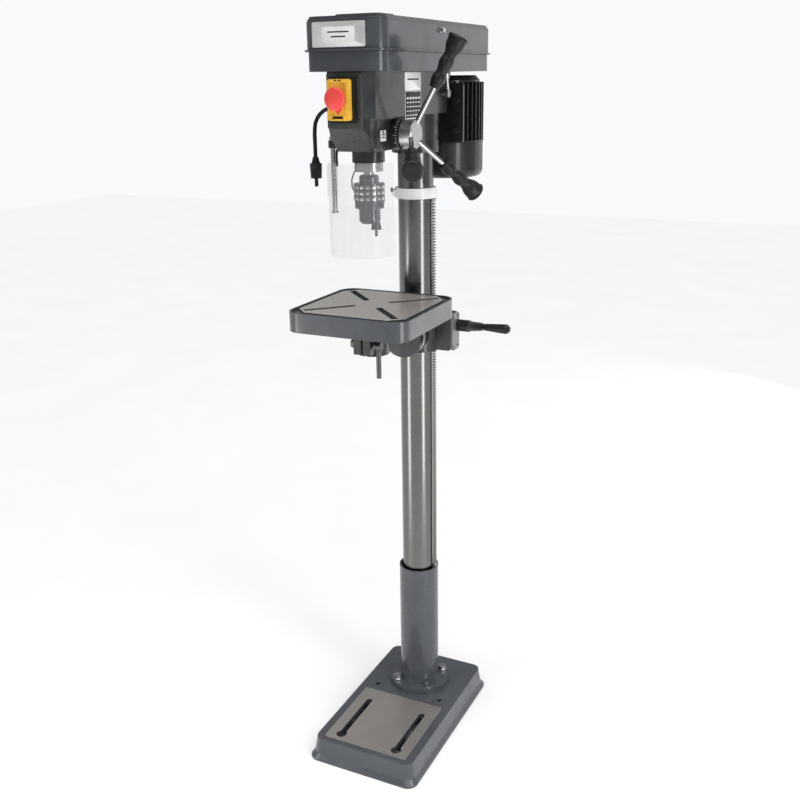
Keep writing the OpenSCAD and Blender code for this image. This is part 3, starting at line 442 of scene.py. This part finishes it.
def finish_piece(name, bm, look, body):
    """Make the object from its mesh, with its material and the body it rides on."""
    mesh = bpy.data.meshes.new(name)
    bmesh.ops.recalc_face_normals(bm, faces=bm.faces)
    bm.to_mesh(mesh)
    bm.free()
    mesh.shade_smooth()
    mesh.set_sharp_from_angle(angle=CREASE)
    obj = bpy.data.objects.new(name, mesh)
    bpy.context.scene.collection.objects.link(obj)
    dress(obj, look)
    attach(obj, body)


def screw_head(bm, where, radius, height):
    add_lathe(bm, [(0, -0.5), (radius, -0.5), (radius, height * 0.45), (radius * 0.8, height * 0.85),
                   (radius * 0.35, height), (radius * 0.3, height * 0.55), (0, height * 0.5)], where, 20)


# ------------------------------------------------------------------ plates and labels

def make_nameplate():
    """A blank plate with a pale badge and two plain bars on the front of the lid."""
    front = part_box("belt_cover")[0][1] / MM + 5
    place = place_at(mm(-4, front, 1568.5), FRONT)
    bm = bmesh.new()
    add_plate(bm, round_outline(108, 43, 3), -0.5, 1.0, 0.5, place)
    finish_piece("nameplate", bm, "brushed_plate", "lid")
    bm = bmesh.new()
    add_plate(bm, round_outline(66, 26, 1.5), 0.9, 1.5, 0.3, place)
    finish_piece("nameplate_badge", bm, "label_white", "lid")
    bm = bmesh.new()
    for y, width in ((4, 44), (-4, 30)):
        add_plate(bm, round_outline(width, 2.2, 1), 1.4, 1.75, 0.15, place @ Matrix.Translation(mm(0, y, 0)))
    finish_piece("nameplate_bars", bm, "dark_print", "lid")


def make_flank_label():
    """A speed chart without lettering: pale top field, black field with pale cells below."""
    side = 50
    mid_y, width = -117, 74
    top = place_at(mm(side, mid_y, 1487), RIGHT)
    low = place_at(mm(side, mid_y, 1443), RIGHT)
    bm = bmesh.new()
    add_plate(bm, round_outline(width, 34, 1.5), -0.4, 0.7, 0.3, top)
    add_plate(bm, round_outline(width, 52, 1.5), -0.4, 0.6, 0.3, low)
    finish_piece("speed_chart", bm, "brushed_plate", "frame")
    bm = bmesh.new()
    add_plate(bm, round_outline(width - 5, 49, 1), 0.5, 0.9, 0.2, low)
    add_plate(bm, round_outline(52, 3, 1), 0.6, 0.95, 0.15, top @ Matrix.Translation(mm(0, 4, 0)))
    finish_piece("speed_chart_field", bm, "dark_print", "frame")
    bm = bmesh.new()
    for row in range(5):
        for col in range(5):
            cell = low @ Matrix.Translation(mm(-26 + 13 * col, -19 + 8 * row, 0))
            add_plate(bm, round_outline(*((8, 2.2) if row < 4 else (9, 4)), 0.5), 0.8, 1.1, 0.12, cell)
    finish_piece("speed_chart_cells", bm, "label_white", "frame")


def make_small_labels():
    bm = bmesh.new()
    add_plate(bm, round_outline(24, 20, 1.5), -0.4, 0.5, 0.25, place_at(mm(38, -226, 1390), RIGHT))
    finish_piece("feed_label", bm, "label_white", "frame")
    bm = bmesh.new()
    for y in (-4, 1):
        add_plate(bm, round_outline(14, 1.8, 0.8), 0.4, 0.75, 0.12, place_at(mm(38, -226, 1391 + y), RIGHT))
    add_plate(bm, round_outline(5, 5, 2.4), 0.4, 0.75, 0.12, place_at(mm(38, -226, 1396.5), RIGHT))
    finish_piece("feed_label_mark", bm, "dark_print", "frame")


def make_tilt_scale():
    """Pale arc with ticks on the rim of the bracket's tilting disc."""
    bm = bmesh.new()
    radius, low_y, high_y = 44.2, -61, -52
    steps = 24
    rows = []
    for i in range(steps + 1):
        a = math.radians(-42 + 90 * i / steps)
        corners = ((radius - 1, low_y), (radius + 0.5, low_y), (radius + 0.5, high_y), (radius - 1, high_y))
        rows.append([bm.verts.new(mm(r * math.cos(a), y, TILT_AXIS_Z + r * math.sin(a))) for r, y in corners])
    for a, b in zip(rows, rows[1:]):
        for i in range(4):
            j = (i + 1) % 4
            bm.faces.new((a[i], a[j], b[j], b[i]))
    bm.faces.new(rows[0])
    bm.faces.new(list(reversed(rows[-1])))
    finish_piece("tilt_scale", bm, "brushed_plate", "lift_bracket")
    bm = bmesh.new()
    for i in range(19):
        a = math.radians(-42 + 5 * i)
        turn = Matrix.Rotation(-a, 3, "Y") @ RIGHT
        length = 6 if i % 3 == 0 else 3.5
        where = mm((radius + 0.3) * math.cos(a), high_y - 0.8 - length / 2,
                   TILT_AXIS_Z + (radius + 0.3) * math.sin(a))
        add_plate(bm, bar_outline(length / 2, 0.35), 0, 0.45, 0.08, place_at(where, turn))
    finish_piece("tilt_scale_ticks", bm, "dark_print", "lift_bracket")


def make_dial_ticks():
    """Graduations round the depth dial."""
    low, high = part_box("feed_hub")
    axis = mm(0, (low.y + high.y) / 2 / MM, FEED_AXIS_Z)
    bm = bmesh.new()
    for i in range(36):
        a = math.tau * i / 36
        length = 7 if i % 3 == 0 else 4
        out = Vector((0, math.cos(a), math.sin(a)))
        along = Vector((1, 0, 0))
        turn = Matrix((along, out.cross(along), out)).transposed()
        where = axis + out * 28.7 * MM + along * (55 - length / 2) * MM
        add_plate(bm, bar_outline(length / 2, 0.3), 0, 0.5, 0.08, place_at(where, turn))
    finish_piece("dial_ticks", bm, "label_white", "dial")


# ------------------------------------------------------------------ hardware

def make_cover_hardware():
    """The lid's knob, and the screws of the fan cover and the switch plate."""
    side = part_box("belt_cover")[1].x / MM - 5
    bm = bmesh.new()
    add_lathe(bm, [(0, -1), (5, -1), (5, 1), (3, 2), (3, 4), (5.5, 5), (5.5, 8), (4.5, 9), (0, 9)],
              place_at(mm(side - 0.9, -51, 1582), RIGHT), 28)
    finish_piece("lid_knob", bm, "chrome", "lid")
    bm = bmesh.new()
    motor_y = (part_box("motor_rotor")[0].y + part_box("motor_rotor")[1].y) / 2 / MM
    for degrees in (-62, 28, 118, 208):
        out = outward(math.radians(degrees))
        screw_head(bm, place_at(mm(0, motor_y, 1345) + out * 76.8 * MM, facing(out)), 4, 2)
    finish_piece("fan_cover_screws", bm, "bright", "motor")
    bm = bmesh.new()
    for x in (-31, 31):
        for z in (1411, 1498):
            screw_head(bm, place_at(mm(x, -306, z), FRONT), 2.6, 1.6)
    finish_piece("switch_plate_screws", bm, "dark", "frame")


def make_chuck_trim():
    """Three bands of raised pads round the chuck's sleeve, and the key's teeth under it; the pads take the lighter
    turned steel as painted highlight spots on the dark chuck.
    """
    low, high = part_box("chuck_sleeve")
    axis = (low + high) / 2 / MM
    radius = (high.x - low.x) / 2 / MM
    bottom = low.z / MM
    bm = bmesh.new()
    pad_height, pads = 7, 16
    for band_low in (14, 25, 36):
        for i in range(pads):
            out = outward(math.tau * i / pads)
            where = mm(axis.x, axis.y, bottom + band_low + pad_height / 2) + out * (radius - 0.4) * MM
            add_plate(bm, round_outline(8, pad_height, 1.5, 3), -0.6, 0.9, 0.7, place_at(where, facing(out)))
    # The pads take the lighter turned steel on the dark chuck as painted highlight spots.
    finish_piece("chuck_knurl_painted_highlights", bm, "steel", "chuck_ring")
    bm = bmesh.new()
    teeth = 24
    for i in range(teeth):
        out = outward(math.tau * (i + 0.5) / teeth)
        turn = Matrix((UP.cross(out), out, -UP)).transposed()
        where = mm(axis.x, axis.y, bottom + 0.5) + out * (radius - 3.6) * MM
        add_plate(bm, bar_outline(1.7, 1.9), 0, 3.4, 0.9, place_at(where, turn))
    finish_piece("chuck_teeth", bm, "chuck", "chuck_ring")


def make_flap_trim():
    """Raised rim, hinge lugs, pull tab and arrow on the front of the switch's flap."""
    low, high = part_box("switch_flap")
    front, mid_z = low.y / MM, (low.z + high.z) / 2 / MM
    face = place_at(mm(0, front, mid_z), FRONT)
    bm = bmesh.new()
    for side in (-1, 1):
        add_plate(bm, round_outline(4, 50, 1.6), -0.6, 1.6, 0.6, face @ Matrix.Translation(mm(side * 18.5, 1, 0)))
        add_plate(bm, round_outline(9, 5, 1.2), -0.6, 2.6, 0.7, face @ Matrix.Translation(mm(side * 12, 32, 0)))
        add_plate(bm, round_outline(2.6, 9, 1.1), -0.6, 3.2, 0.7, face @ Matrix.Translation(mm(side * 12.5, -31, 0)))
    add_plate(bm, round_outline(27, 2.8, 1.2), -0.6, 3.2, 0.7, face @ Matrix.Translation(mm(0, -34.2, 0)))
    finish_piece("flap_trim", bm, "yellow", "flap")
    bm = bmesh.new()
    add_plate(bm, round_outline(22, 4.2, 1), -0.3, 0.35, 0.15, face @ Matrix.Translation(mm(0, -30.3, 0)))
    for side in (-1, 1):
        add_plate(bm, round_outline(5, 2, 0.8), -0.3, 0.35, 0.15, face @ Matrix.Translation(mm(side * 4, 33.6, 0)))
    finish_piece("flap_slots", bm, "dark_print", "flap")
    bm = bmesh.new()
    add_plate(bm, [(-8, 5), (0, -5), (8, 5)], -0.3, 0.8, 0.3, face @ Matrix.Translation(mm(0, -20.5, 0)))
    finish_piece("flap_arrow", bm, "red", "flap")


def make_guard_lead():
    """Short switch lead clipped beside the guard's post."""
    route = [(-62, -226, 1364), (-61.5, -230, 1356), (-61, -232, 1348), (-61, -231, 1341), (-61.8, -228, 1336),
             (-64, -226, 1332)]
    lead = add_lead("guard_lead", [mm(*p) for p in route], 0.0022, "NURBS", 3)
    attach(lead, "guard_post")


make_nameplate()
make_flank_label()
make_small_labels()
make_tilt_scale()
make_dial_ticks()
make_cover_hardware()
make_chuck_trim()
make_flap_trim()
make_guard_lead()


# ------------------------------------------------------------------ stage and light

def make_stage():
    mesh = bpy.data.meshes.new("floor")
    half = 9
    mesh.from_pydata([(-half, -half, 0), (half, -half, 0), (half, half, 0), (-half, half, 0)], [], [(0, 1, 2, 3)])
    floor = bpy.data.objects.new("floor", mesh)
    bpy.context.scene.collection.objects.link(floor)
    s = Shader("floor_paint")
    s.set("Base Color", s.tint(s.noise(3, 3), (0.875, 0.875, 0.875), (0.89, 0.89, 0.89)))
    s.set("Roughness", s.spread(s.noise(5, 3), 0.7, 0.8))
    mesh.materials.append(s.mat)


def softbox(name, azimuth, distance, width, bottom, top, glow):
    """An upright box light facing the column; glow is the brightness of its face."""
    data = bpy.data.lights.new(name, "AREA")
    data.shape = "RECTANGLE"
    data.size = width
    data.size_y = top - bottom
    data.energy = glow * math.pi * width * (top - bottom)
    lamp = bpy.data.objects.new(name, data)
    out = outward(math.radians(azimuth))
    lamp.location = out * distance + Vector((0, 0, (bottom + top) / 2))
    lamp.rotation_euler = (-out).to_track_quat("-Z", "Y").to_euler()
    lamp.visible_camera = False
    bpy.context.scene.collection.objects.link(lamp)


def make_sky(glow, seen):
    """Even dim light all round; the camera sees the same sky as a pale backdrop."""
    world = bpy.data.worlds.new("studio")
    world.use_nodes = True
    tree = world.node_tree
    path = tree.nodes.new("ShaderNodeLightPath")
    strength = tree.nodes.new("ShaderNodeMapRange")
    strength.inputs["To Min"].default_value = glow
    strength.inputs["To Max"].default_value = seen
    tree.links.new(path.outputs["Is Camera Ray"], strength.inputs["Value"])
    tree.links.new(strength.outputs["Result"], tree.nodes["Background"].inputs["Strength"])
    tree.nodes["Background"].inputs["Color"].default_value = (0.97, 0.98, 1.0, 1)
    bpy.context.scene.world = world


def make_sun(strength):
    """One broad light from above, soft enough to leave no edge in a shadow."""
    data = bpy.data.lights.new("overhead", "SUN")
    data.energy = strength
    data.angle = math.radians(70)
    lamp = bpy.data.objects.new("overhead", data)
    lamp.rotation_euler = (math.radians(12), math.radians(10), 0)
    bpy.context.scene.collection.objects.link(lamp)


make_stage()
make_sky(0.32, 0.97)
make_sun(2.5)
softbox("flank_box", 60, 3.0, 2.6, 0.0, 2.0, 0.7)
softbox("right_box", -25, 1.45, 0.34, 0.02, 1.6, 6.0)
softbox("left_box", -125, 1.3, 0.34, 0.02, 0.95, 5.0)
bpy.context.scene.view_settings.view_transform = "Standard"
